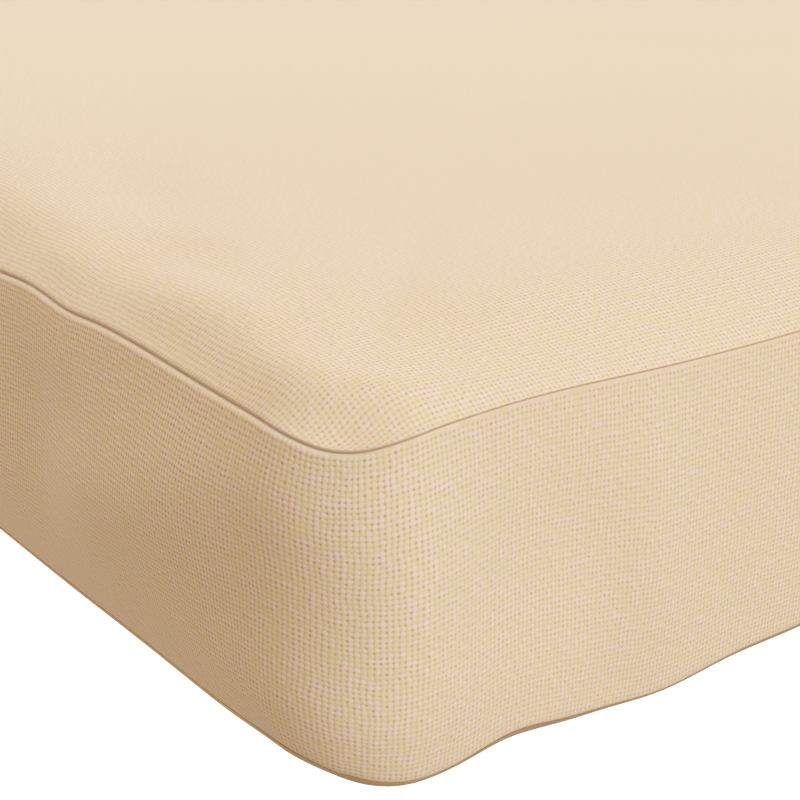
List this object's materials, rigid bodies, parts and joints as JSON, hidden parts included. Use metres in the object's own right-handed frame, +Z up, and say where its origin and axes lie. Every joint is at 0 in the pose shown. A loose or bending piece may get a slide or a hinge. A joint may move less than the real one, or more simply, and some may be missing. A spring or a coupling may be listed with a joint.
{
  "type": "bench cushion",
  "caption": "Boxed bench cushion lying flat: a crowned top panel and a flat bottom panel sewn with plain seams to a filled body with a boxing band and rounded corners.",
  "frame": {"origin": "middle of the cushion's footprint, on the plane that its flat underside rests on", "axes": "+X along the bench, towards the short end whose corner the picture shows; +Y from the long face in the picture to the one behind; +Z up"},
  "size_m": [1.2253, 0.5145, 0.0959],
  "materials": {
    "top_panel_cloth": "cream plain-woven cloth with slubby yarns, matt",
    "bottom_panel_cloth": "cream plain-woven cloth with slubby yarns, matt",
    "boxing_cloth": "cream plain-woven cloth with slubby yarns, matt"
  },
  "bodies": {
    "root": {"top_panel": "top_panel_cloth", "bottom_panel": "bottom_panel_cloth", "boxed_body": "boxing_cloth"}
  },
  "joints": []
}
